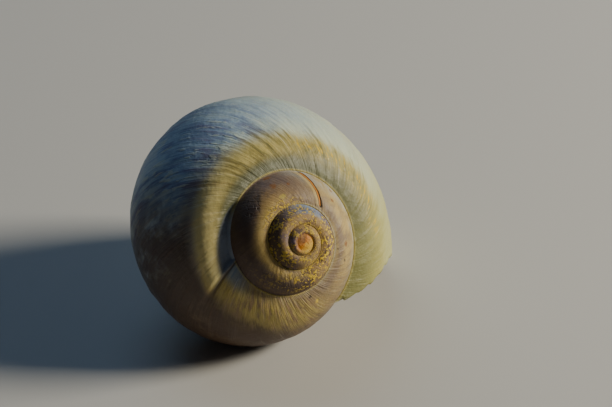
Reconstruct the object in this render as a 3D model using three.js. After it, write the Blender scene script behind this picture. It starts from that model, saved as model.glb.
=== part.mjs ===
// A land snail shell: one coiled, thin-walled tube that grew as a single piece, empty inside.
// Millimetres, +Z up. It lies mouth down, on the rim of the mouth and the belly of the last whorl.
import * as THREE from 'three';

// ---- driving dimensions -------------------------------------------------------------------
// Places along the coil are counted in turns: 0 where the suture meets the lip, and less
// towards the apex. Across a whorl they are counted in quarters: 0 at the suture, 1 at the
// widest point, 2 at the bottom, 3 at the inmost point and 4 on the whorl before it.
const suture = {
  radius: 9.9, radiusRate: 0.566, radiusEase: -0.0405,
  drop: 6.89, dropRate: 0.595, dropEase: -0.157,
};
const whorl = { lean: 0.467, slender: 1.813, flatAtMouth: 0.94, flatAtApex: 1.78, turns: 1.45 };
const base = { width: 0.52, depth: 0.5 };          // of the radius at the widest point
const navel = { radius: 0.09, rise: 1.15, overlap: 2.4 };
const wall = { thickness: 0.65, share: 0.12 };     // mm, and the most of a whorl's width
const lip = { bearing: -0.751, back: 0.1045, reach: 0.613, blend: 0.3 };
const brokenRim = { from: 1.05, to: 2.3, back: 0.027 };
const apexTurn = -4.25;           // where the coil starts
const hollowTurn = -2.0;          // how far up the whorls the hollow reaches
const navelTurn = -1.75;          // where the narrow hole under the coil closes
const restTurn = [1.002, 0.437, 0.012];   // attitude at rest, radians about X, Y and Z

// ---- how finely the surface is faceted ------------------------------------------------------
const perTurn = 24;               // columns to a turn
const spireRows = 6;
const bellyRows = 8;
const navelRows = 5;
const trailSuture = 2;            // columns by which growth lines trail at the next suture,
const trailBelly = 3;             // under the belly
const trailNavel = 1;             // and at the navel

const columns = Math.round(-apexTurn * perTurn);
const columnOf = (turn) => columns + Math.round(turn * perTurn);
const rowSuture = spireRows;
const rowInside = rowSuture + 1;
const rowInsideEnd = rowInside + bellyRows;
const rowNavel = rowInsideEnd + 1;
const rowEnd = rowNavel + navelRows;
const turnBack = perTurn - trailSuture;      // columns from a suture to the whorl above it
const firstOpen = columns - turnBack;        // first column that no later whorl covers
const firstHollow = columnOf(hollowTurn);
const firstNavel = columnOf(navelTurn);

const mix = (from, to, share) => from + (to - from) * share;

// The suture: the line where a whorl meets the one before it.
function sutureAt(turn) {
  const { radius, radiusRate, radiusEase, drop, dropRate, dropEase } = suture;
  return {
    r: radius * Math.exp(radiusRate * turn + radiusEase * turn * turn),
    z: -drop * Math.exp(dropRate * turn + dropEase * turn * turn),
  };
}

// A leaned ellipse through the sutures above and below a whorl, and its widest point.
function whorlAt(turn) {
  const { lean, slender, flatAtMouth, flatAtApex, turns } = whorl;
  const [cos, sin] = [Math.cos(lean), Math.sin(lean)];
  const [above, below] = [sutureAt(turn), sutureAt(turn + 1)].map(({ r, z }) => (
    new THREE.Vector2(r * cos + z * sin, (z * cos - r * sin) / slender)));
  const chord = below.clone().sub(above);
  const flatness = mix(flatAtApex, flatAtMouth, Math.exp(-((turn / turns) ** 2)));
  const across = chord.length() / flatness;
  const reach = Math.sqrt(1 / flatness ** 2 - 1 / 4);
  const centre = above.clone().add(below).multiplyScalar(0.5);
  centre.add(new THREE.Vector2(chord.y, -chord.x).multiplyScalar(reach));
  const angleOf = (point) => Math.atan2(point.y - centre.y, point.x - centre.x);
  const pointAt = (angle) => {
    const x = centre.x + across * Math.cos(angle);
    const y = (centre.y + across * Math.sin(angle)) * slender;
    return { r: x * cos - y * sin, z: x * sin + y * cos };
  };
  const top = angleOf(above);
  const widest = -Math.atan2(slender * sin, cos);
  return { pointAt, top, widest, next: (top - angleOf(below)) / (top - widest) };
}

// Radius and height of the outer surface at a turn and a quarter.
function outlineAt(turn, quarter) {
  const { pointAt, top, widest } = whorlAt(turn);
  if (quarter <= 1) return pointAt(mix(top, widest, quarter));
  const side = pointAt(widest);
  const bottom = { r: side.r * (1 - base.width), z: side.z - side.r * base.depth };
  const angle = (quarter - Math.min(Math.floor(quarter), 3)) * Math.PI / 2;
  const [cos, sin] = [Math.cos(angle), Math.sin(angle)];
  if (quarter < 2) return { r: mix(bottom.r, side.r, cos), z: mix(side.z, bottom.z, sin) };
  const inmost = { r: side.r * navel.radius, z: bottom.z + side.r * base.depth * navel.rise };
  if (quarter < 3) return { r: mix(bottom.r, inmost.r, sin), z: mix(inmost.z, bottom.z, cos) };
  const end = outlineAt(turn - 1, navel.overlap);
  return { r: mix(end.r, inmost.r, cos), z: mix(inmost.z, end.z, sin) };
}

// The same place moved into the wall, towards the hollow.
function liningAt(turn, quarter) {
  const step = 0.01;
  const from = outlineAt(turn, Math.max(quarter - step, 0));
  const to = outlineAt(turn, Math.min(quarter + step, 4));
  const here = outlineAt(turn, quarter);
  const length = Math.hypot(to.r - from.r, to.z - from.z);
  const depth = thicknessAt(turn) / length;
  return { r: here.r + (to.z - from.z) * depth, z: here.z - (to.r - from.r) * depth };
}

function thicknessAt(turn) {
  return Math.min(wall.thickness, wall.share * outlineAt(turn, 1).r);
}

// Quarters beyond a place that one wall's thickness spans along the surface.
function wallSpan(turn, quarter) {
  const step = 0.05;
  const [from, to] = [outlineAt(turn, quarter), outlineAt(turn, quarter + step)];
  return step * thicknessAt(turn + 1) / Math.hypot(to.r - from.r, to.z - from.z);
}

// The rows of a column: along the spire to the next suture, across the belly that the next
// whorl's hollow would show, and through the navel to the whorl before.
function quarterAt(turn, row) {
  const { next } = whorlAt(turn);
  const inside = next + wallSpan(turn, next);
  const insideEnd = navel.overlap - wallSpan(turn, navel.overlap);
  if (row <= rowSuture) return next * row / rowSuture;
  if (row <= rowInsideEnd) return mix(inside, insideEnd, (row - rowInside) / bellyRows);
  return mix(navel.overlap, 4, (row - rowNavel) / navelRows);
}

// How many turns a row trails behind the start of its column, as a growth line does.
function trailAt(row) {
  const knots = [[0, 0], [rowSuture, trailSuture], [rowInside, trailSuture],
    [rowInsideEnd, trailBelly], [rowNavel, trailBelly], [rowEnd, trailNavel]];
  const after = knots.findIndex(([place]) => place >= row);
  if (after === 0) return 0;
  const [[from, low], [to, high]] = [knots[after - 1], knots[after]];
  return mix(low, high, (row - from) / (to - from)) / perTurn;
}

// How many turns the rim trails behind its upper end. Its lower half is broken back, so that it
// meets the ground along a line.
function rimTrail(quarter) {
  const sweep = lip.back * Math.sin(Math.min(quarter / lip.reach, 1) * Math.PI / 2);
  const broken = (quarter - brokenRim.from) / (brokenRim.to - brokenRim.from);
  if (broken < 0 || broken > 1) return sweep;
  return sweep + brokenRim.back * Math.sin(broken * Math.PI);
}

// Towards the lip the columns swing into the line of the rim.
function turnAt(column, row) {
  const start = (column - columns) / perTurn;
  const trail = trailAt(row);
  const share = THREE.MathUtils.smoothstep(start, -lip.blend, 0);
  const quarter = quarterAt(start - trail, row);
  return start - mix(trail, quarter < 3 ? rimTrail(quarter) : trail, share);
}

// ---- vertices and triangles -----------------------------------------------------------------
const vertices = [];
const triangles = [];
const numbered = new Map();

function vertex(name, turn, place) {
  if (!numbered.has(name)) {
    const { r, z } = place();
    const bearing = lip.bearing - turn * Math.PI * 2;
    numbered.set(name, vertices.length / 3);
    vertices.push(r * Math.cos(bearing), r * Math.sin(bearing), z);
  }
  return numbered.get(name);
}

// The outer surface. A column's first row lies on the suture of the whorl before, and its last
// row on that whorl's navel; where there is no whorl before, both run together in a point.
function skin(column, row) {
  if (row === 0) {
    if (column >= turnBack) return skin(column - turnBack, rowSuture);
    return vertex('apex', 0, () => ({ r: 0, z: outlineAt(apexTurn, 0.2).z }));
  }
  if (row === rowEnd) {
    if (column - turnBack >= firstNavel) return skin(column - turnBack, rowNavel);
    return vertex('navel', 0, () => ({ r: 0, z: outlineAt(navelTurn, 3.5).z }));
  }
  const turn = turnAt(column, row);
  return vertex(`skin ${column} ${row}`, turn, () => outlineAt(turn, quarterAt(turn, row)));
}

// The inner surface of the wall. Its edges lie on the whorl before.
function lining(column, row) {
  if (row === 0) return skin(column - turnBack, rowInside);
  if (row === rowEnd) return skin(column - turnBack, rowInsideEnd);
  const turn = turnAt(column, row);
  return vertex(`lining ${column} ${row}`, turn, () => liningAt(turn, quarterAt(turn, row)));
}

function triangle(a, b, c) {
  if (a !== b && b !== c && c !== a) triangles.push(a, b, c);
}

function quad(a, b, c, d) {
  triangle(a, b, c);
  triangle(a, c, d);
}

// A row of the outer surface shows from the column where nothing covers or fills it.
function firstShown(row) {
  if (row < rowSuture) return 0;
  if (row === rowSuture || row === rowInsideEnd) return firstOpen;
  if (row < rowInsideEnd) return firstHollow - turnBack;
  return firstNavel;
}

for (let row = 0; row < rowEnd; row += 1) {
  for (let column = firstShown(row); column < columns; column += 1) {
    quad(skin(column, row), skin(column + 1, row), skin(column + 1, row + 1), skin(column, row + 1));
  }
  for (let column = firstHollow; column < columns; column += 1) {
    quad(lining(column, row), lining(column, row + 1),
      lining(column + 1, row + 1), lining(column + 1, row));
  }
  quad(skin(columns, row), lining(columns, row), lining(columns, row + 1), skin(columns, row + 1));
}

// The steps where the coil and the navel begin.
for (let row = 1; row < rowSuture; row += 1) triangle(skin(0, 0), skin(0, row), skin(0, row + 1));
for (let row = rowNavel; row < rowEnd - 1; row += 1) {
  triangle(skin(firstNavel, rowEnd), skin(firstNavel, row), skin(firstNavel, row + 1));
}

// The end of the hollow, between the lining and the whorl before.
for (let belly = 0, row = 0; belly < bellyRows || row < rowEnd;) {
  const [inner, outer] = [rowInside + belly, row];
  const near = skin(firstHollow - turnBack, inner);
  const far = lining(firstHollow, outer);
  if (row === rowEnd || (belly < bellyRows && belly * rowEnd <= row * bellyRows)) {
    triangle(near, skin(firstHollow - turnBack, inner + 1), far);
    belly += 1;
  } else {
    triangle(near, lining(firstHollow, outer + 1), far);
    row += 1;
  }
}

// ---- the part -------------------------------------------------------------------------------
const geometry = new THREE.BufferGeometry();
geometry.setAttribute('position', new THREE.Float32BufferAttribute(vertices, 3));
geometry.setIndex(triangles);
geometry.applyMatrix4(new THREE.Matrix4().makeRotationFromEuler(new THREE.Euler(...restTurn)));
geometry.computeBoundingBox();
const { min, max } = geometry.boundingBox;
geometry.translate(-(min.x + max.x) / 2, -(min.y + max.y) / 2, -min.z);
geometry.computeVertexNormals();

const shell = new THREE.Mesh(geometry, new THREE.MeshStandardMaterial({
  color: 0xd9cdb8, roughness: 0.55, metalness: 0,
}));
shell.name = 'shell';

const part = new THREE.Group();
part.add(shell);
export default part;
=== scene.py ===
import math
import bpy
import numpy as np
from mathutils import Euler, Matrix, Vector


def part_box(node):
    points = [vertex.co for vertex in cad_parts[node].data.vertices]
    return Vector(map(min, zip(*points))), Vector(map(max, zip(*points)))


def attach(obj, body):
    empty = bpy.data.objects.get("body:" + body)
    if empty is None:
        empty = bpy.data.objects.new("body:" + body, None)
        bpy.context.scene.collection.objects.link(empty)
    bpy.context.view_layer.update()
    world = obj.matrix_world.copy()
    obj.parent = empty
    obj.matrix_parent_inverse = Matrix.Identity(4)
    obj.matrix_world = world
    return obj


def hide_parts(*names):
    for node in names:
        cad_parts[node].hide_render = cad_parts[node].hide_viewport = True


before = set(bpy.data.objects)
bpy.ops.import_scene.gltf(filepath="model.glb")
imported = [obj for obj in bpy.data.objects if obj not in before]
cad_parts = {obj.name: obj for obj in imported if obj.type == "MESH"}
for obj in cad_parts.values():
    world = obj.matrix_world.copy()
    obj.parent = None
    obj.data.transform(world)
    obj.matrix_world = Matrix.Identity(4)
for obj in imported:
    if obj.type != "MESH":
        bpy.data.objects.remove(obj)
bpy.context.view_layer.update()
print("frame loaded")

# Places along the coil are counted in turns: 0 where the suture meets the lip, and less towards
# the apex. Across a whorl they are counted in quarters: 0 at the suture, 1 at the widest point,
# 2 at the bottom, 3 at the inmost point and 4 on the whorl before it. Lengths are in metres.
coil = {
    "Suture radius": 0.0099, "Radius rate": 0.566, "Radius ease": -0.0405,
    "Suture drop": 0.00689, "Drop rate": 0.595, "Drop ease": -0.157,
    "Lean": 0.467, "Slenderness": 1.813, "Flatness at mouth": 0.94, "Flatness at apex": 1.78,
    "Flatness turns": 1.45, "Base width": 0.52, "Base depth": 0.5,
    "Navel radius": 0.09, "Navel rise": 1.15, "Navel overlap": 2.4,
    "Wall": 0.00065, "Wall share": 0.12, "Lip bearing": -0.751,
    "Lip wall": 0.45, "Lip taper": 0.12,
}
extent = {"apex": -4.25, "hollow": -2.0, "navel": -1.75}
resting = {"turn": (1.002, 0.437, 0.012)}
lip = {
    "back": 0.1045, "reach": 0.613, "blend": 0.3,
    "brokenFrom": 1.05, "brokenTo": 2.3, "broken": 0.027, "chipLean": 0.4,
}
chips = [
    {"at": 0.015, "width": 0.03, "back": 0.006},
    {"at": 0.12, "width": 0.02, "back": 0.0018},
    {"at": 0.20, "width": 0.025, "back": 0.0035},
    {"at": 0.285, "width": 0.03, "back": 0.0022},
    {"at": 0.385, "width": 0.025, "back": 0.004},
    {"at": 0.46, "width": 0.02, "back": 0.0028},
    {"at": 0.72, "width": 0.06, "back": 0.004},
    {"at": 0.98, "width": 0.05, "back": 0.003},
    {"at": 1.32, "width": 0.09, "back": 0.003},
    {"at": 1.9, "width": 0.12, "back": 0.004},
]
# Rows and columns of the unrolled wall. The trails are how many turns its named rows lag behind,
# the crowdings draw rows towards the suture, and the gaps keep the lining out of the corners.
grid = {
    "perTurn": 288, "spireRows": 24, "bellyRows": 30, "navelRows": 8,
    "trails": (0, 1 / 12, 1 / 12, 1 / 8, 1 / 8, 1 / 24),
    "spireCrowding": 1.5, "bellyCrowding": 1.25, "step": 0.05, "insideGap": 1.35, "cornerGap": 0.9,
}
# Rough measures: a whorl's width against its suture, a quarter and a turn against that width,
# the quarter past which growth lines run straight down, and the last whorl's width.
rough = {"width": 1.04, "quarter": 1.25, "turn": 6.0, "slopeEnd": 1.3, "lastWidth": 0.016}


# A value in a node tree. The coil's rule below reads the same for numbers and for nodes.
class Field:
    def __init__(self, tree, socket):
        self.tree = tree
        self.socket = socket

    def __add__(self, other):
        return combine("ADD", self, other)

    def __radd__(self, other):
        return combine("ADD", other, self)

    def __sub__(self, other):
        return combine("SUBTRACT", self, other)

    def __rsub__(self, other):
        return combine("SUBTRACT", other, self)

    def __mul__(self, other):
        return combine("MULTIPLY", self, other)

    def __rmul__(self, other):
        return combine("MULTIPLY", other, self)

    def __truediv__(self, other):
        return combine("DIVIDE", self, other)

    def __rtruediv__(self, other):
        return combine("DIVIDE", other, self)

    def __neg__(self):
        return combine("MULTIPLY", self, -1)


def plug(tree, value, socket):
    if isinstance(value, Field):
        tree.links.new(value.socket, socket)
    else:
        socket.default_value = value


def combine(operation, *values):
    tree = next(value.tree for value in values if isinstance(value, Field))
    node = tree.nodes.new("ShaderNodeMath")
    node.operation = operation
    for value, socket in zip(values, node.inputs):
        plug(tree, value, socket)
    return Field(tree, node.outputs[0])


def apply(operation, plain, *values):
    if any(isinstance(value, Field) for value in values):
        return combine(operation, *values)
    return plain(*values)


def exp(value):
    return apply("EXPONENT", np.exp, value)


def sine(value):
    return apply("SINE", np.sin, value)


def cosine(value):
    return apply("COSINE", np.cos, value)


def root(value):
    return apply("SQRT", np.sqrt, value)


def bearingOf(y, x):
    return apply("ARCTAN2", np.arctan2, y, x)


def least(first, second):
    return apply("MINIMUM", np.minimum, first, second)


def most(first, second):
    return apply("MAXIMUM", np.maximum, first, second)


def isBelow(value, edge):
    return apply("LESS_THAN", lambda a, b: (np.asarray(a) < b) * 1.0, value, edge)


def mix(start, end, share):
    return start + (end - start) * share


def ramp(value, start, end):
    share = least(most((value - start) / (end - start), 0.0), 1.0)
    return share * share * (3.0 - 2.0 * share)


def bump(value, middle, width):
    away = (value - middle) / width
    return exp(-(away * away))


# The suture: the line where a whorl meets the one before it.
def sutureAt(size, turn):
    radius = size["Suture radius"] * exp(turn * (size["Radius rate"] + size["Radius ease"] * turn))
    drop = size["Suture drop"] * exp(turn * (size["Drop rate"] + size["Drop ease"] * turn))
    return radius, -drop


# A leaned ellipse through the sutures above and below a whorl.
def whorlAt(size, turn):
    cos, sin = cosine(size["Lean"]), sine(size["Lean"])
    slender = size["Slenderness"]
    corners = []
    for place in (turn, turn + 1.0):
        radius, height = sutureAt(size, place)
        corners.append((radius * cos + height * sin, (height * cos - radius * sin) / slender))
    (aboveX, aboveY), (belowX, belowY) = corners
    chordX, chordY = belowX - aboveX, belowY - aboveY
    fade = turn / size["Flatness turns"]
    flatness = mix(size["Flatness at apex"], size["Flatness at mouth"], exp(-(fade * fade)))
    across = root(chordX * chordX + chordY * chordY) / flatness
    reach = root(1.0 / (flatness * flatness) - 0.25)
    middleX = (aboveX + belowX) * 0.5 + chordY * reach
    middleY = (aboveY + belowY) * 0.5 - chordX * reach
    top = bearingOf(aboveY - middleY, aboveX - middleX)
    bottom = bearingOf(belowY - middleY, belowX - middleX)
    widest = -bearingOf(slender * sin, cos)

    def pointAt(angle):
        x = middleX + across * cosine(angle)
        y = (middleY + across * sine(angle)) * slender
        return x * cos - y * sin, x * sin + y * cos

    side = pointAt(widest)
    base = side[0] * size["Base depth"]
    low = (side[0] * (1.0 - size["Base width"]), side[1] - base)
    inmost = (side[0] * size["Navel radius"], low[1] + base * size["Navel rise"])
    following = (top - bottom) / (top - widest)
    return {"pointAt": pointAt, "top": top, "widest": widest, "side": side, "low": low,
            "inmost": inmost, "next": following}


# Radius and height on a whorl; the last quarter runs up to the whorl before.
def outlineAt(whorl, before, overlap, quarter):
    angle = mix(whorl["top"], whorl["widest"], least(quarter, 1.0))
    spire = whorl["pointAt"](angle)
    right = math.pi / 2
    side, low, inmost = whorl["side"], whorl["low"], whorl["inmost"]
    belly = (mix(low[0], side[0], cosine((quarter - 1.0) * right)),
             mix(side[1], low[1], sine((quarter - 1.0) * right)))
    floor = (mix(low[0], inmost[0], sine((quarter - 2.0) * right)),
             mix(inmost[1], low[1], cosine((quarter - 2.0) * right)))
    end = (mix(before["low"][0], before["inmost"][0], sine((overlap - 2.0) * right)),
           mix(before["inmost"][1], before["low"][1], cosine((overlap - 2.0) * right)))
    navel = (mix(end[0], inmost[0], cosine((quarter - 3.0) * right)),
             mix(inmost[1], end[1], sine((quarter - 3.0) * right)))
    place = []
    for axis in (0, 1):
        value = mix(navel[axis], floor[axis], isBelow(quarter, 3.0))
        value = mix(value, belly[axis], isBelow(quarter, 2.0))
        place.append(mix(value, spire[axis], isBelow(quarter, 1.0)))
    return place


# How many turns the rim trails behind its upper end, with its chips and its broken lower half.
def rimTrail(quarter):
    trail = lip["back"] * np.sin(np.minimum(quarter / lip["reach"], 1) * math.pi / 2)
    broken = np.clip((quarter - lip["brokenFrom"]) / (lip["brokenTo"] - lip["brokenFrom"]), 0, 1)
    trail = trail + lip["broken"] * np.sin(broken * math.pi)
    for chip in chips:
        share = np.clip((quarter - chip["at"]) / chip["width"], -1, 1)
        trail = trail + chip["back"] * (1 - share ** 2) * (1 + lip["chipLean"] * share)
    return trail


# The wall unrolled: every vertex knows its turn and quarter, and the node tree coils it up.
def unrolledWall():
    perTurn = grid["perTurn"]
    columns = round(-extent["apex"] * perTurn)
    rowSuture = grid["spireRows"]
    rowInside = rowSuture + 1
    rowInsideEnd = rowInside + grid["bellyRows"]
    rowNavel = rowInsideEnd + 1
    rowEnd = rowNavel + grid["navelRows"]
    trails = grid["trails"]
    turnBack = round(perTurn * (1 - trails[1]))
    firstOpen = columns - turnBack
    firstHollow = columns + round(extent["hollow"] * perTurn)
    firstNavel = columns + round(extent["navel"] * perTurn)

    row = np.arange(rowEnd + 1)[None, :]
    start = (np.arange(columns + 1)[:, None] - columns) / perTurn
    trail = np.interp(row, [0, rowSuture, rowInside, rowInsideEnd, rowNavel, rowEnd], trails)
    overlap = coil["Navel overlap"]

    def span(turn, quarter):
        here, after = whorlAt(coil, turn), whorlAt(coil, turn - 1)
        one = outlineAt(here, after, overlap, quarter)
        two = outlineAt(here, after, overlap, quarter + grid["step"])
        thickness = np.minimum(coil["Wall"], coil["Wall share"] * whorlAt(coil, turn + 1)["side"][0])
        return grid["step"] * thickness / np.hypot(two[0] - one[0], two[1] - one[1])

    def quarterAt(turn):
        following = whorlAt(coil, turn)["next"]
        inside = following + span(turn, following) * grid["insideGap"]
        insideEnd = overlap - span(turn, overlap)
        spire = following * (row / rowSuture) ** grid["spireCrowding"]
        share = np.clip((row - rowInside) / grid["bellyRows"], 0, 1) ** grid["bellyCrowding"]
        belly = mix(inside, insideEnd, share)
        navel = mix(overlap, 4.0, (row - rowNavel) / grid["navelRows"])
        return np.where(row <= rowSuture, spire, np.where(row <= rowInsideEnd, belly, navel))

    share = ramp(start, -lip["blend"], 0.0)
    near = quarterAt(start - trail)
    turns = start - mix(trail, np.where(near < 3, rimTrail(near), trail), share)
    quarters = quarterAt(turns)
    corner = coil["Wall"] / (rough["width"] * rough["quarter"] * sutureAt(coil, turns + 1)[0])
    liningQuarters = quarters + corner * grid["cornerGap"] * (1 - ramp(quarters, 0.0, 0.25))

    numbered, values, faces, places, insides = {}, [], [], [], []

    def vertex(key, turn, quarter, lining, onAxis):
        if key not in numbered:
            numbered[key] = len(values)
            values.append((turn, quarter, lining, onAxis))
        return numbered[key]

    def skin(c, r):
        if r == 0:
            if c >= turnBack:
                return skin(c - turnBack, rowSuture)
            return vertex("apex", extent["apex"], 0.2, 0, 1)
        if r == rowEnd:
            if c - turnBack >= firstNavel:
                return skin(c - turnBack, rowNavel)
            return vertex("navel", extent["navel"], 3.5, 0, 1)
        return vertex((0, c, r), turns[c, r], quarters[c, r], 0, 0)

    def lining(c, r):
        if r == 0:
            return skin(c - turnBack, rowInside)
        if r == rowEnd:
            return skin(c - turnBack, rowInsideEnd)
        return vertex((1, c, r), turns[c, r], liningQuarters[c, r], 1, 0)

    def face(inside, *corners):
        found = {}
        for side, c, r in corners:
            found.setdefault(side(c, r), (turns[c, r], quarters[c, r]))
        if len(found) > 2:
            faces.append(list(found))
            places.extend(found.values())
            insides.append(inside)

    def firstShown(r):
        if r < rowSuture:
            return 0
        if r in (rowSuture, rowInsideEnd):
            return firstOpen
        return firstHollow - turnBack if r < rowInsideEnd else firstNavel

    for r in range(rowEnd):
        for c in range(firstShown(r), columns):
            parietal = rowInside <= r < rowInsideEnd and c < firstOpen
            face(1.0 if parietal else 0.0,
                 (skin, c, r), (skin, c + 1, r), (skin, c + 1, r + 1), (skin, c, r + 1))
        for c in range(firstHollow, columns):
            face(1.0, (lining, c, r), (lining, c, r + 1), (lining, c + 1, r + 1), (lining, c + 1, r))
        face(0.5, (skin, columns, r), (lining, columns, r),
             (lining, columns, r + 1), (skin, columns, r + 1))
    for r in range(1, rowSuture):
        face(0.0, (skin, 0, 0), (skin, 0, r), (skin, 0, r + 1))
    for r in range(rowNavel, rowEnd - 1):
        face(0.0, (skin, firstNavel, rowEnd), (skin, firstNavel, r), (skin, firstNavel, r + 1))
    floorRow = wallRow = 0
    startColumn = firstHollow - turnBack
    while floorRow < grid["bellyRows"] or wallRow < rowEnd:
        near = (skin, startColumn, rowInside + floorRow)
        far = (lining, firstHollow, wallRow)
        floorNext = floorRow < grid["bellyRows"] and floorRow * rowEnd <= wallRow * grid["bellyRows"]
        if wallRow == rowEnd or floorNext:
            face(1.0, near, (skin, startColumn, rowInside + floorRow + 1), far)
            floorRow += 1
        else:
            face(1.0, near, (lining, firstHollow, wallRow + 1), far)
            wallRow += 1

    mesh = bpy.data.meshes.new("shellWall")
    mesh.from_pydata([(0, 0, 0)] * len(values), [], faces)
    for name, column in zip(("turn", "quarter", "lining", "onAxis"), zip(*values)):
        attribute = mesh.attributes.new(name, "FLOAT", "POINT")
        attribute.data.foreach_set("value", np.array(column, np.float32))
    growth = mesh.uv_layers.new(name="growth")
    growth.data.foreach_set("uv", np.array(places, np.float32).ravel())
    attribute = mesh.attributes.new("inside", "FLOAT", "FACE")
    attribute.data.foreach_set("value", np.array(insides, np.float32))
    return mesh


def addNode(tree, kind, inputs=None, **settings):
    node = tree.nodes.new(kind)
    for name, value in settings.items():
        setattr(node, name, value)
    for name, value in (inputs or {}).items():
        plug(tree, value, node.inputs[name])
    return node


def noise(tree, x, y, z=0.0, scale=1.0, detail=2.0, roughness=0.5):
    place = addNode(tree, "ShaderNodeCombineXYZ", {"X": x, "Y": y, "Z": z})
    node = addNode(tree, "ShaderNodeTexNoise", {
        "Vector": Field(tree, place.outputs[0]), "Scale": scale, "Detail": detail, "Roughness": roughness})
    return Field(tree, node.outputs[0])


relief = {
    "Fold height": 0.00013, "Folds per turn": 34.0,
    "Rib height": 0.00007, "Ribs per turn": 88.0,
    "Thread height": 0.00006, "Thread width": 0.00013, "Thread place": 0.00020,
    "Repair turn": -0.662, "Repair step": 0.00055, "Repair groove": 0.00065,
    "Gutter start": -0.50, "Gutter slope": 1.25,
    "Band start": 0.34, "Band end": 0.28, "Band width": 0.13,
    "Growth slope": 0.115, "Dent depth": 0.00010,
    "Worn start": 0.00075, "Worn end": 0.00125, "Nucleus height": 0.00022, "Nucleus curve": 230.0,
}


# Growth lines trail behind towards the bottom, so a low place is newer than the suture at its turn.
def ageAt(size, turn, quarter):
    return turn + size["Growth slope"] * least(quarter, rough["slopeEnd"])


# The gutter beside the mended lip is a wedge, and this is the quarter where it ends.
def gutterEndAt(size, turn):
    return most((size["Gutter start"] - turn) * size["Gutter slope"], 0.0)


# Growth folds, ribs and dents, and the ridge along the suture. All but the ridge fade at the suture.
def reliefAt(tree, size, turn, quarter, whorl):
    sideRadius = whorl["side"][0]
    scale = sideRadius / rough["lastWidth"]
    age = ageAt(size, turn, quarter)
    down = quarter * sideRadius * rough["quarter"]
    folds = noise(tree, age * size["Folds per turn"], quarter * 1.6, scale=1.0, detail=1.5) - 0.5
    ribs = noise(tree, age * size["Ribs per turn"], quarter * 3.0, 7.0, detail=1.0) - 0.5
    dents = noise(tree, turn * 9.0, quarter * 5.0, 3.0, detail=2.0) - 0.5
    height = (folds * size["Fold height"] * 2.0 + ribs * size["Rib height"] * 2.0) * scale
    height = height + dents * size["Dent depth"] * 2.0 * scale
    height = height * ramp(turn, -3.6, -2.2)
    atSuture = ramp(quarter, whorl["next"] - 0.08, whorl["next"]) * (1.0 - ramp(turn, -1.04, -1.02))
    height = height * ramp(quarter, 0.0, 0.05) * (1.0 - atSuture)
    ridge = bump(down, size["Thread place"], size["Thread width"])
    height = height + ridge * size["Thread height"] * ramp(turn, -3.0, -2.4)
    return height * (1.0 - ramp(quarter, 3.0, 3.6))


# Where the animal mended its lip: a raised band, with a gutter between it and the suture.
def mendAt(size, turn, quarter):
    newer = ageAt(size, turn, quarter) - size["Repair turn"]
    begun = ramp(newer, -0.003, 0.003)
    fresh = begun * (1.0 - ramp(newer, 0.08, 0.30))
    gutterEnd = gutterEndAt(size, turn)
    gutter = begun * ramp(gutterEnd, 0.0, 0.06)
    gutter = gutter * (1.0 - ramp(quarter, gutterEnd * 0.5, gutterEnd + 0.06)) * ramp(quarter, 0.0, 0.02)
    crest = mix(size["Band start"], size["Band end"], ramp(newer, 0.0, 0.08))
    band = bump(quarter, crest, size["Band width"])
    return fresh * size["Repair step"] * band - gutter * size["Repair groove"]


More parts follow.
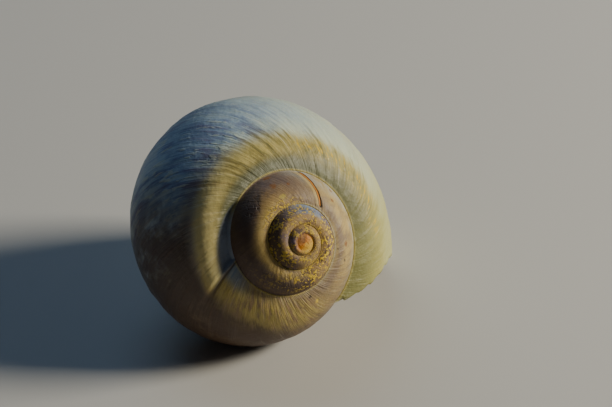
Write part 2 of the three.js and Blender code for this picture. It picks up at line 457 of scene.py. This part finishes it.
# The tree that coils the unrolled wall and gives it its relief.
def coilTree(material):
    tree = bpy.data.node_groups.new("coiledWall", "GeometryNodeTree")
    tree.is_modifier = True
    tree.interface.new_socket(name="Geometry", in_out="INPUT", socket_type="NodeSocketGeometry")
    tree.interface.new_socket(name="Geometry", in_out="OUTPUT", socket_type="NodeSocketGeometry")
    for name, value in {**coil, **relief}.items():
        tree.interface.new_socket(name=name, in_out="INPUT", socket_type="NodeSocketFloat")
    given = tree.nodes.new("NodeGroupInput")
    size = {name: Field(tree, given.outputs[name]) for name in {**coil, **relief}}

    def named(name):
        node = addNode(tree, "GeometryNodeInputNamedAttribute", {"Name": name}, data_type="FLOAT")
        return Field(tree, node.outputs["Attribute"])

    turn, quarter, lining, onAxis = (named(name) for name in ("turn", "quarter", "lining", "onAxis"))
    whorl, before = whorlAt(size, turn), whorlAt(size, turn - 1.0)
    overlap = size["Navel overlap"]
    here = outlineAt(whorl, before, overlap, quarter)
    step = 0.01
    back = outlineAt(whorl, before, overlap, most(quarter - step, 0.0))
    ahead = outlineAt(whorl, before, overlap, least(quarter + step, 4.0))
    stepR, stepZ = ahead[0] - back[0], ahead[1] - back[1]
    thickness = least(size["Wall"], size["Wall share"] * whorl["side"][0])
    thin = mix(size["Lip wall"], 1.0, ramp(-turn, 0.06, 0.06 + size["Lip taper"]))
    depth = lining * thickness * thin / root(stepR * stepR + stepZ * stepZ)
    radius = (here[0] + stepZ * depth) * (1.0 - onAxis)
    height = here[1] - stepR * depth
    worn = (1.0 - ramp(radius, size["Worn start"], size["Worn end"])) * isBelow(quarter, 0.999)
    worn = worn * isBelow(turn, -2.9)
    dome = size["Nucleus height"] - size["Nucleus curve"] * radius * radius
    height = mix(height, dome, worn)
    bearing = size["Lip bearing"] - turn * (2 * math.pi)
    place = addNode(tree, "ShaderNodeCombineXYZ", {
        "X": radius * cosine(bearing), "Y": radius * sine(bearing), "Z": height})
    placed = addNode(tree, "GeometryNodeSetPosition", {
        "Geometry": Field(tree, given.outputs["Geometry"]), "Position": Field(tree, place.outputs[0])})
    rise = reliefAt(tree, size, turn, quarter, whorl) * (1.0 - lining * 0.7)
    rise = (rise + mendAt(size, turn, quarter)) * (1.0 - onAxis)
    normal = addNode(tree, "GeometryNodeInputNormal")
    lift = addNode(tree, "ShaderNodeVectorMath", {0: Field(tree, normal.outputs[0])}, operation="SCALE")
    plug(tree, rise, lift.inputs["Scale"])
    side = addNode(tree, "ShaderNodeVectorMath", {0: Field(tree, lift.outputs[0])}, operation="SCALE")
    plug(tree, 1.0 - lining * 2.0, side.inputs["Scale"])
    raised = addNode(tree, "GeometryNodeSetPosition", {
        "Geometry": Field(tree, placed.outputs[0]), "Offset": Field(tree, side.outputs[0])})
    smooth = addNode(tree, "GeometryNodeSetShadeSmooth", {"Geometry": Field(tree, raised.outputs[0])})
    real = addNode(tree, "GeometryNodeRealizeInstances", {"Geometry": Field(tree, smooth.outputs[0])})
    finished = addNode(tree, "GeometryNodeSetMaterial", {"Geometry": Field(tree, real.outputs[0])})
    finished.inputs["Material"].default_value = material
    made = tree.nodes.new("NodeGroupOutput")
    tree.links.new(finished.outputs[0], made.inputs["Geometry"])
    return tree


# Colours are linear; places are turns and quarters, as in the coil.
skinTones = {
    "chalk": (0.60, 0.68, 0.56), "cream": (0.54, 0.43, 0.10), "slate": (0.165, 0.31, 0.53),
    "violet": (0.185, 0.145, 0.26), "tan": (0.36, 0.24, 0.10), "mauve": (0.15, 0.10, 0.085),
    "ochre": (0.77, 0.54, 0.045), "rust": (0.25, 0.10, 0.02), "soot": (0.025, 0.015, 0.012),
    "horn": (0.47, 0.45, 0.13), "amber": (0.62, 0.22, 0.008), "moss": (0.085, 0.09, 0.03),
    "pearl": (0.72, 0.68, 0.54), "umber": (0.075, 0.042, 0.028), "sand": (0.54, 0.40, 0.14),
    "plum": (0.19, 0.14, 0.11), "mist": (0.37, 0.51, 0.65), "ivory": (0.82, 0.72, 0.36),
    "straw": (0.32, 0.27, 0.075),
}
# The grain of the skin: sizes are per metre for clouds, per turn and per quarter for the rest.
grain = {
    "patches": 260.0, "scratches": 700.0, "spots": 900.0, "pores": 1400.0, "grains": 2300.0,
    "crumbs": 3500.0, "lines": (190.0, 2.2), "streaks": (90.0, 3.4), "washes": (16.0, 1.2),
    "dashes": (150.0, 8.0), "glints": (240.0, 13.0),
}
finish = {
    "roughness": 0.52, "polish": 0.27, "liningRoughness": 0.22, "mottle": 0.25, "dustRoughness": 0.2,
    "beadGloss": 0.15, "softWeight": 0.15, "softRadius": (1.0, 0.7, 0.4), "softScale": 0.0003,
}
# Heights of the finest relief, in metres.
fineRelief = {
    "lines": 0.00010, "grains": 0.00003, "pores": 0.00006, "streaks": 0.00006, "crack": -0.00030,
    "dust": 0.00007, "flakes": 0.00004, "scratches": -0.00008, "seamAndShadow": -0.00010,
}
# Where a marking sets in or dies away along the coil, in turns along the growth lines.
ages = {
    "spireEnd": (-2.08, -1.9), "lastWhorl": (-1.12, -0.86), "chalk": (-0.74, -0.40),
    "weathered": (-0.64, -0.52), "weatheredEnd": (-0.44, -0.20), "washes": (-0.5, -0.3),
    "mist": (-0.62, -0.49), "mistEnd": (-0.34, -0.10), "tipEnd": (-0.67, -0.60), "edgeRise": (-0.62, -0.40),
    "marginShade": (-0.67, -0.62), "marginShadeEnd": (-0.50, -0.38), "fringeEnd": (-0.52, -0.42),
    "crestEnd": (-0.56, -0.36), "straw": (-0.58, -0.40), "older": (-0.98, -0.86), "aged": (-1.12, -1.0),
    "stain": (-0.52, -0.40), "besideSuture": (-0.42, -0.28), "jointShade": (-0.76, -0.68), "shade": (-0.88, -0.76),
    "ragged": (-0.66, -0.72), "shadeRise": (-0.70, -0.88), "rim": (-0.19, -0.03),
    "rimStart": (-0.34, -0.12), "valley": (-0.36, -0.20), "valleyDeep": (-0.15, 0.0),
    "plum": (-1.45, -1.30), "sand": (-1.34, -1.16),
    "bloom": (-1.34, -1.22), "newest": (-1.34, -1.20), "dark": (-1.95, -1.80), "darkEnd": (-1.50, -1.36),
    "glintBand": (-0.36, -0.28), "glintBandEnd": (-0.14, -0.08), "gloss": (-0.45, -0.3), "liningHorn": (-0.22, 0.0),
}
# The same across the whorl, in quarters.
rows = {
    "shoulder": (0.08, 0.16), "weathered": (0.24, 0.42), "belly": (0.9, 1.4), "washes": (0.4, 0.7),
    "mist": (0.36, 0.60), "shadeBelow": (0.30, 0.65), "stripesEnd": (0.25, 0.75), "shadeBesideSutureEnd": (0.08, 0.20),
    "mossEnd": (0.10, 0.22), "stain": (0.04, 0.12), "stainEnd": (0.30, 0.55), "besideSutureEnd": (0.16, 0.40),
    "jointShadeEnd": (0.12, 0.26), "seamAndShadowEnd": (0.36, 0.46), "shadeLate": (0.45, 0.8), "valleyEnd": (0.12, 0.38),
    "mauve": (0.25, 0.5), "bloom": (0.35, 0.6), "paleTopEnd": (0.02, 0.08), "dark": (0.30, 0.48),
    "flank": (0.34, 0.50), "slate": (0.35, 0.5), "dustEnd": (0.55, 0.75), "dustPatchEnd": (0.10, 0.30),
}
# Bands along the coil: the quarter they follow and their width.
bands = {
    "crest": (0.27, 0.09), "glintBand": (0.27, 0.06), "gloss": (0.26, 0.07), "plum": (0.15, 0.09),
    "sand": (0.19, 0.13), "scratches": (0.50, 0.13), "fissure": (0.54, 0.05),
}
# Patches on the spire: the turn they lie at and their length.
stretches = {
    "slate": (-2.32, 0.09), "dust": (-1.97, 0.17), "dustPatch": (-1.46, 0.10),
    "scratches": (-1.515, 0.035), "fissure": (-3.06, 0.045),
}
edge = {"start": 0.34, "end": 0.38, "tip": 0.08, "ragged": 0.12}
thread = {"width": 0.00018, "faint": 0.35}
crack = {
    "turn": -1.252, "slope": -0.118, "from": 0.06, "to": 0.74, "width": 0.00029,
    "flankOffset": -0.00055, "flankWidth": 0.00035, "wander": 0.0003,
}
bead = {"inner": 0.0008, "outer": 0.0014, "shadeSide": 2.36, "wander": 0.0006}
specks = [
    {"turn": -0.929, "quarter": 0.12, "radius": 0.00042, "tone": "soot"},
    {"turn": -0.947, "quarter": 0.245, "radius": 0.00045, "tone": "ochre"},
    {"turn": -1.098, "quarter": 0.09, "radius": 0.00036, "tone": "soot"},
    {"turn": -1.073, "quarter": 0.27, "radius": 0.00032, "tone": "soot"},
    {"turn": -1.115, "quarter": 0.27, "radius": 0.00050, "tone": "rust"},
    {"turn": -1.426, "quarter": 0.47, "radius": 0.00060, "tone": "rust"},
    {"turn": -1.382, "quarter": 0.425, "radius": 0.00045, "tone": "rust"},
    {"turn": -1.419, "quarter": 0.67, "radius": 0.00050, "tone": "rust"},
    {"turn": -1.416, "quarter": 0.245, "radius": 0.00070, "tone": "cream"},
    {"turn": -1.238, "quarter": 0.38, "radius": 0.00042, "tone": "rust"},
    {"turn": -1.248, "quarter": 0.57, "radius": 0.00040, "tone": "rust"},
]


def shellMaterial():
    material = bpy.data.materials.new("wornShell")
    material.use_nodes = True
    tree = material.node_tree
    shader = tree.nodes["Principled BSDF"]
    growth = addNode(tree, "ShaderNodeUVMap", uv_map="growth")
    unrolled = addNode(tree, "ShaderNodeSeparateXYZ", {0: Field(tree, growth.outputs[0])})
    turn, quarter = Field(tree, unrolled.outputs[0]), Field(tree, unrolled.outputs[1])
    inside = Field(tree, addNode(tree, "ShaderNodeAttribute", attribute_name="inside").outputs["Fac"])
    place = Field(tree, addNode(tree, "ShaderNodeTexCoord").outputs["Object"])
    age = ageAt(relief, turn, quarter)
    wide = sutureAt(coil, turn + 1.0)[0] * rough["width"]
    turnLength = wide * rough["turn"]
    quarterLength = wide * rough["quarter"]

    def cloud(name, detail=3.0, roughness=0.55, distortion=0.0):
        node = addNode(tree, "ShaderNodeTexNoise", {
            "Vector": place, "Scale": grain[name], "Detail": detail, "Roughness": roughness,
            "Distortion": distortion})
        return Field(tree, node.outputs[0])

    def drawn(name, z=0.0, detail=2.0, roughness=0.5):
        alongCoil, acrossWhorl = grain[name]
        return noise(tree, age * alongCoil, quarter * acrossWhorl, z, detail=detail, roughness=roughness)

    def paint(under, tone, share):
        node = addNode(tree, "ShaderNodeMix", data_type="RGBA")
        plug(tree, share, node.inputs[0])
        plug(tree, under if isinstance(under, Field) else (*skinTones[under], 1), node.inputs[6])
        plug(tree, tone if isinstance(tone, Field) else (*skinTones[tone], 1), node.inputs[7])
        return Field(tree, node.outputs[2])

    def since(name):
        return ramp(age, *ages[name])

    def until(name):
        return 1.0 - ramp(age, *ages[name])

    def below(name):
        return ramp(quarter, *rows[name])

    def above(name):
        return 1.0 - ramp(quarter, *rows[name])

    def band(name):
        return bump(quarter, *bands[name])

    def stretch(name):
        return bump(turn, *stretches[name])

    patches = cloud("patches", 4.0, 0.6, 0.4)
    spots = cloud("spots", 3.0, 0.6)
    grains = cloud("grains", 2.0, 0.5)
    crumbs = cloud("crumbs", 2.0, 0.5)
    lines = drawn("lines", detail=2.5, roughness=0.65)
    streaks = drawn("streaks", 5.0, detail=4.0, roughness=0.65)
    body = since("lastWhorl")
    penult = since("spireEnd") * (1.0 - body)
    inner = until("spireEnd")
    belly = below("belly")
    newer = ramp(age, relief["Repair turn"] - 0.012, relief["Repair turn"])

    # The last whorl: chalky, with streaked weathering below the shoulder; the misty wash and the bluish
    # slate streaks on it are painted reflection of cool light from above, laid over that weathering.
    colour = paint("tan", "chalk", since("chalk"))
    washes = ramp(drawn("washes", 11.0), 0.50, 0.70) * since("washes") * below("washes")
    colour = paint(colour, "tan", washes * 0.35)
    # Misty blue wash: painted reflection of cool light from above.
    misty = since("mist") * until("mistEnd") * below("mist")
    colour = paint(colour, "mist", misty * mix(0.5, 1.0, streaks) * (1.0 - belly * 0.6))
    weathered = since("weathered") * until("weatheredEnd") * below("weathered")
    # Slate streaks: painted reflection of cool light, mixed into the weathering.
    bluish = weathered * ramp(patches * 0.6 + streaks * 0.6, 0.46, 0.72)
    colour = paint(colour, "slate", bluish * (1.0 - belly * 0.6))
    bruised = weathered * ramp(streaks * 0.8 + patches * 0.5, 0.60, 0.82)
    colour = paint(colour, "violet", bruised * (0.8 - belly * 0.4))
    flakes = weathered * ramp(drawn("dashes", 19.0) + spots * 0.3, 0.72, 0.82)
    colour = paint(colour, "chalk", flakes * 0.6)

    # The cream shoulder with its ragged edge, newer than the mended lip. Its cream is partly its own colour
    # and partly painted highlight on the lit band; plum just past its edge is painted shade, and ivory
    # along its crest is painted highlight.
    shoulderEnd = mix(edge["start"], edge["end"], since("edgeRise")) + until("tipEnd") * edge["tip"]
    shoulderEnd = shoulderEnd + (streaks - 0.5) * edge["ragged"]
    shoulder = below("shoulder") * (1.0 - ramp(quarter, shoulderEnd - 0.12, shoulderEnd + 0.05))
    # Plum just past the shoulder's edge: painted shade where the band turns from the light.
    marginShade = bump(quarter, shoulderEnd + 0.04, 0.09) * since("marginShade") * until("marginShadeEnd")
    colour = paint(colour, "plum", marginShade * 0.6)
    colour = paint(colour, "cream", shoulder * newer * mix(0.75, 1.0, patches))
    fringe = bump(quarter, shoulderEnd - 0.03, 0.04) * newer * until("fringeEnd")
    colour = paint(colour, "ochre", fringe * 0.3)
    # Ivory along the crest of the band: painted highlight.
    crest = band("crest") * newer * until("crestEnd")
    colour = paint(colour, "ivory", crest * mix(0.6, 1.0, streaks))
    strawed = shoulder * newer * mix(0.3, 0.9, since("straw"))
    colour = paint(colour, "straw", strawed * ramp(streaks + lines * 0.3, 0.48, 0.80))

    # The part older than the mended lip: plum, with cream stripes. The plum is partly its own colour and
    # partly painted shade; the umber towards the bottom and the plum beside the suture are painted shade.
    aged = since("aged") * (1.0 - newer)
    colour = paint(colour, "plum", aged * mix(0.35, 0.85, ramp(patches, 0.42, 0.62)))
    # Umber towards the bottom: painted shade.
    colour = paint(colour, "umber", aged * below("shadeBelow") * 0.5)
    stripes = since("older") * (1.0 - newer) * ramp(streaks + patches * 0.3, 0.52, 0.70)
    colour = paint(colour, "cream", stripes * above("stripesEnd") * 0.75)
    # Plum beside the suture: painted shade.
    colour = paint(colour, "plum", aged * above("shadeBesideSutureEnd") * 0.45)

    # Dark olive beside the suture, then painted shade: violet-grey in the gutter, slate below the mend, an
    # umber shadow line along the seam of the mend and umber shade under the band.
    colour = paint(colour, "moss", above("mossEnd") * newer * mix(0.8, 1.0, streaks))
    stain = below("stain") * above("stainEnd") * since("stain")
    colour = paint(colour, "moss", stain * ramp(streaks, 0.50, 0.64) * 0.6)
    colour = paint(colour, "moss", since("besideSuture") * above("besideSutureEnd") * 0.22)
    gutterEnd = gutterEndAt(relief, turn)
    gutter = (1.0 - ramp(quarter, gutterEnd * 0.7, gutterEnd + 0.03)) * newer * ramp(gutterEnd, 0.0, 0.1)
    # Violet-grey in the gutter: painted shade, as lit by cool light.
    colour = paint(colour, paint("violet", "mist", 0.55), gutter * 0.9)
    # Slate below the mend, beside the suture: painted shade.
    colour = paint(colour, "slate", (1.0 - newer) * since("jointShade") * above("jointShadeEnd") * 0.6)
    # An umber line along the step of the mend: painted shadow over the seam's groove.
    seamAndShadow = bump(age, relief["Repair turn"] - 0.008, 0.004) * above("seamAndShadowEnd")
    colour = paint(colour, "umber", seamAndShadow * 0.8)
    # Umber under the band on the older side: painted shade.
    shade = since("shade") * (1.0 - ramp(age - below("shadeLate") * 0.05, -0.58, -0.46))
    ragged = (streaks - 0.5) * 0.5 * since("ragged")
    shade = shade * ramp(quarter + ragged - since("shadeRise") * 0.18, 0.33, 0.47)
    colour = paint(colour, "umber", shade * ramp(patches + lines * 0.2, 0.22, 0.60) * (0.92 - belly * 0.3))

    # The greenish rim, darker towards the suture.
    rim = since("rim") + since("rimStart") * 0.4 * (1.0 - belly)
    colour = paint(colour, "horn", least(rim, 1.0) * 0.8)
    valley = above("valleyEnd") * since("valley")
    colour = paint(colour, "moss", valley * (mix(0.3, 0.55, streaks) + since("valleyDeep") * 0.12))

    # The whorl before it: tan and greyish mauve, darker in its older half, where umber on the flank is
    # painted shade and a sand band along the crest is painted highlight; a plum band beside the suture near
    # its end is painted shade.
    dull = paint("tan", "mauve", ramp(patches + below("mauve") * 0.12, 0.42, 0.62))
    dull = paint(dull, "plum", since("plum") * 0.8)
    dull = paint(dull, "sand", since("sand") * ramp(patches + streaks * 0.2, 0.40, 0.62))
    dull = paint(dull, "mist", since("bloom") * below("bloom") * ramp(patches, 0.40, 0.60) * 0.45)
    newest = since("newest")
    # Plum band beside the suture: painted shade.
    dull = paint(dull, "plum", newest * band("plum") * 0.8)
    dull = paint(dull, "mist", newest * above("paleTopEnd") * 0.3)
    dull = paint(dull, "mauve", newest * ramp(streaks + patches * 0.3, 0.62, 0.80) * 0.45)
    dark = since("dark") * until("darkEnd")
    # Umber on the flank: painted shade.
    dull = paint(dull, "umber", dark * below("dark") * 0.8)
    # Sand band along the crest: painted highlight.
    dull = paint(dull, "sand", dark * band("sand") * 0.9)
    colour = paint(colour, dull, penult)

    # The inner whorls, and the ochre dust on them and round them; the umber on one flank and the slate
    # patch are painted shade.
    worn = paint("tan", "violet", ramp(patches + spots * 0.2, 0.52, 0.72) * 0.8)
    # Umber on the flank of the inner whorl: painted shade.
    flank = below("flank") * ramp(turn, -2.95, -2.75) * (1.0 - ramp(turn, -2.50, -2.36))
    worn = paint(worn, "umber", flank * 0.85)
    # Slate patch: painted shade, as lit by cool light.
    worn = paint(worn, "slate", stretch("slate") * below("slate") * 0.7)
    colour = paint(colour, worn, inner)
    dusty = stretch("dust") * above("dustEnd")
    dusty = dusty + stretch("dustPatch") * above("dustPatchEnd") + inner * 0.75
    colour = paint(colour, "umber", dusty * ramp(spots + patches * 0.4, 0.66, 0.80) * 0.7)
    dust = dusty * ramp(crumbs + spots * 0.6, 0.83, 0.91)
    colour = paint(colour, "ochre", dust * 0.9)

    # Growth lines, ochre dashes on the shoulder as painted glints, scratches and the pale thread along the
    # suture.
    strong = mix(0.22, 0.34, shoulder)
    colour = paint(colour, "rust", ramp(lines, 0.55, 0.72) * strong * 0.55 * ramp(turn, -3.2, -2.6))
    colour = paint(colour, "pearl", ramp(0.42 - lines, 0.0, 0.16) * 0.30 * body * (1.0 - shade * 0.8))
    # Ochre dashes along the shoulder: painted glints, also made glossier.
    glintBand = band("glintBand") * since("glintBand") * until("glintBandEnd")
    glints = glintBand * ramp(drawn("glints", 17.0, detail=1.0), 0.56, 0.63)
    colour = paint(colour, "ochre", glints * 0.85)
    scratched = stretch("scratches") * band("scratches")
    scratches = ramp(cloud("scratches", 1.0, 0.4, 3.0), 0.55, 0.60) * scratched
    colour = paint(colour, "soot", scratches * 0.8)
    threaded = bump(quarter * quarterLength, relief["Thread place"], thread["width"])
    threaded = threaded * mix(thread["faint"], 1.0, ramp(turn, -2.5, -2.1)) * (1.0 - gutter)
    colour = paint(colour, "cream", threaded * ramp(turn, -3.3, -3.0) * mix(0.2, 0.9, spots))

    # The crack and the split beside the first whorl.
    off = (turn - crack["turn"] - crack["slope"] * quarter) * turnLength
    off = off + (spots - 0.5) * crack["wander"]
    reach = ramp(quarter, crack["from"], crack["from"] + 0.08)
    reach = reach * (1.0 - ramp(quarter, crack["to"] - 0.1, crack["to"]))
    opened = bump(off, 0.0, crack["width"]) * reach * (1.0 - ramp(inside, 0.2, 0.4))
    colour = paint(colour, "sand", bump(off, crack["flankOffset"], crack["flankWidth"]) * reach * 0.7)
    colour = paint(colour, "soot", ramp(opened, 0.10, 0.4) * 0.8)
    colour = paint(colour, "amber", ramp(opened, 0.55, 0.85) * 0.9)
    colour = paint(colour, "soot", stretch("fissure") * band("fissure") * 0.85)

    for speck in specks:
        along = (turn - speck["turn"]) * turnLength
        across = (quarter - speck["quarter"]) * quarterLength
        away = root(along * along + across * across) / speck["radius"]
        away = away + (spots - 0.5) * 2.4 + (grains - 0.5) * 1.4
        colour = paint(colour, speck["tone"], (1.0 - ramp(away, 0.3, 1.0)) * 0.8)

    # The worn first whorl: amber, its own colour, painted ochre on the side the light comes from as painted
    # highlight and rust on the far side as painted shade.
    radius = mix(sutureAt(coil, turn)[0], sutureAt(coil, turn + 1.0)[0], quarter * 1.3)
    first = 1.0 - ramp(radius + (spots - 0.5) * bead["wander"], bead["inner"], bead["outer"])
    first = first * isBelow(quarter, 1.0)
    bearing = coil["Lip bearing"] - turn * (2 * math.pi)
    # Grows towards the side away from the light, where rust is painted shade.
    towardShade = radius * cosine(bearing - bead["shadeSide"]) + (patches - 0.5) * 0.0002
    beadTone = paint("ochre", "amber", mix(0.25, 1.0, ramp(towardShade, -0.0009, 0.0001)))
    beadTone = paint(beadTone, "rust", mix(0.1, 0.85, ramp(towardShade, -0.0001, 0.0009)))
    colour = paint(colour, beadTone, first)

    # Inside, the wall is smooth and pale.
    colour = paint(colour, paint("pearl", "horn", since("liningHorn") * 0.7), inside)
    tree.links.new(colour.socket, shader.inputs["Base Color"])

    glossy = least(since("gloss") * band("gloss") * ramp(spots, 0.5, 0.6) * 0.5 + glints, 1.0)
    matt = mix(finish["roughness"], finish["polish"], glossy) + (spots - 0.5) * finish["mottle"]
    matt = matt + dusty * finish["dustRoughness"] - first * finish["beadGloss"]
    plug(tree, mix(matt, finish["liningRoughness"], inside), shader.inputs["Roughness"])
    heights = lines * fineRelief["lines"] + grains * fineRelief["grains"]
    heights = heights + cloud("pores") * fineRelief["pores"] + streaks * fineRelief["streaks"]
    heights = heights * (1.0 - inside * 0.8) * (1.0 - first * 0.8)
    heights = heights + opened * fineRelief["crack"] + dust * fineRelief["dust"]
    heights = heights + flakes * fineRelief["flakes"] + scratches * fineRelief["scratches"]
    heights = heights + seamAndShadow * fineRelief["seamAndShadow"]
    surface = addNode(tree, "ShaderNodeBump", {"Height": heights, "Strength": 1.0, "Distance": 1.0})
    tree.links.new(surface.outputs[0], shader.inputs["Normal"])
    shader.inputs["Subsurface Weight"].default_value = finish["softWeight"]
    shader.inputs["Subsurface Radius"].default_value = finish["softRadius"]
    shader.inputs["Subsurface Scale"].default_value = finish["softScale"]
    return material


# Coils the wall, turns it the way it rests and sets it down in the middle of its box.
def makeShell(material):
    mesh = unrolledWall()
    print("unrolled wall:", len(mesh.polygons), "faces")
    raw = bpy.data.objects.new("rawShell", mesh)
    bpy.context.scene.collection.objects.link(raw)
    modifier = raw.modifiers.new("coil", "NODES")
    tree = coilTree(material)
    modifier.node_group = tree
    for item in tree.interface.items_tree:
        if item.in_out == "INPUT" and item.name != "Geometry":
            modifier[item.identifier] = {**coil, **relief}[item.name]
    evaluated = raw.evaluated_get(bpy.context.evaluated_depsgraph_get())
    coiled = bpy.data.meshes.new_from_object(evaluated)
    raw.modifiers.remove(modifier)
    bpy.data.objects.remove(raw)
    coiled.transform(Euler(resting["turn"], "ZYX").to_matrix().to_4x4())
    points = np.empty(len(coiled.vertices) * 3, np.float32)
    coiled.vertices.foreach_get("co", points)
    points = points.reshape(-1, 3)
    low, high = (Vector(corner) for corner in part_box("shell"))
    middle = (points.min(0) + points.max(0)) / 2
    boxMiddle = (low + high) / 2
    shift = Vector((boxMiddle.x - middle[0], boxMiddle.y - middle[1], low.z - points[:, 2].min()))
    coiled.transform(Matrix.Translation(shift))
    shell = bpy.data.objects.new("coiledShell", coiled)
    bpy.context.scene.collection.objects.link(shell)
    return shell, shift


material = shellMaterial()
shell, apex = makeShell(material)
print("shell coiled:", len(shell.data.polygons), "faces")
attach(shell, "root")
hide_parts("shell")

studio = {
    "floor": 2.0, "floorColour": (0.62, 0.62, 0.61, 1), "floorRoughness": 0.85,
    "skyColour": (0.75, 0.8, 0.9, 1), "skyStrength": 0.02, "lampReach": 0.6, "aim": (0, 0, 0.012),
}


def makeFloor():
    half = studio["floor"]
    mesh = bpy.data.meshes.new("floor")
    corners = [(-half, -half, 0), (half, -half, 0), (half, half, 0), (-half, half, 0)]
    mesh.from_pydata(corners, [], [(0, 1, 2, 3)])
    floor = bpy.data.objects.new("floor", mesh)
    bpy.context.scene.collection.objects.link(floor)
    paleFloor = bpy.data.materials.new("paleFloor")
    paleFloor.use_nodes = True
    shader = paleFloor.node_tree.nodes["Principled BSDF"]
    shader.inputs["Base Color"].default_value = studio["floorColour"]
    shader.inputs["Roughness"].default_value = studio["floorRoughness"]
    mesh.materials.append(paleFloor)


view = {
    "distance": 0.286, "lens": 152.94, "sensor": 36, "clipStart": 0.01,
    "lookTurn": 0.4462, "lookAxis": -0.0293, "raise": 0.01512, "aside": -0.0006,
}
lights = [
    {"name": "key", "from": (0.88, 0.06, 0.46), "size": 0.16, "power": 4.55, "colour": (1.0, 0.91, 0.73)},
    {"name": "fill", "from": (-0.30, 0.65, 0.85), "size": 0.5, "power": 0.7, "colour": (0.45, 0.68, 1.0)},
]


# The camera looks at the apex along a line that leans from the coil's axis.
def makeCamera():
    rest = Euler(resting["turn"], "ZYX").to_matrix()
    axis = Vector((-math.sin(view["lookAxis"]), math.cos(view["lookAxis"]), 0))
    turned = Matrix.Rotation(view["lookTurn"], 3, axis)
    attitude = rest @ turned.transposed()
    away = attitude @ Vector((0, 0, 1))
    look = attitude @ Euler((view["raise"], view["aside"], 0), "XYZ").to_matrix()
    camera = bpy.data.objects.new("camera", bpy.data.cameras.new("camera"))
    camera.matrix_world = Matrix.Translation(apex + away * view["distance"]) @ look.to_4x4()
    camera.data.lens = view["lens"]
    camera.data.sensor_width = view["sensor"]
    camera.data.clip_start = view["clipStart"]
    bpy.context.scene.collection.objects.link(camera)
    bpy.context.scene.camera = camera


def makeLights():
    for light in lights:
        data = bpy.data.lights.new(light["name"], "AREA")
        data.size = light["size"]
        data.energy = light["power"]
        data.color = light["colour"]
        lamp = bpy.data.objects.new(light["name"], data)
        place = Vector(light["from"]) * studio["lampReach"]
        aim = (Vector(studio["aim"]) - place).to_track_quat("-Z", "Y")
        lamp.matrix_world = Matrix.Translation(place) @ aim.to_matrix().to_4x4()
        bpy.context.scene.collection.objects.link(lamp)
    world = bpy.data.worlds.new("studio")
    world.use_nodes = True
    sky = world.node_tree.nodes["Background"]
    sky.inputs["Color"].default_value = studio["skyColour"]
    sky.inputs["Strength"].default_value = studio["skyStrength"]
    bpy.context.scene.world = world


makeFloor()
makeCamera()
makeLights()
print("stage set")
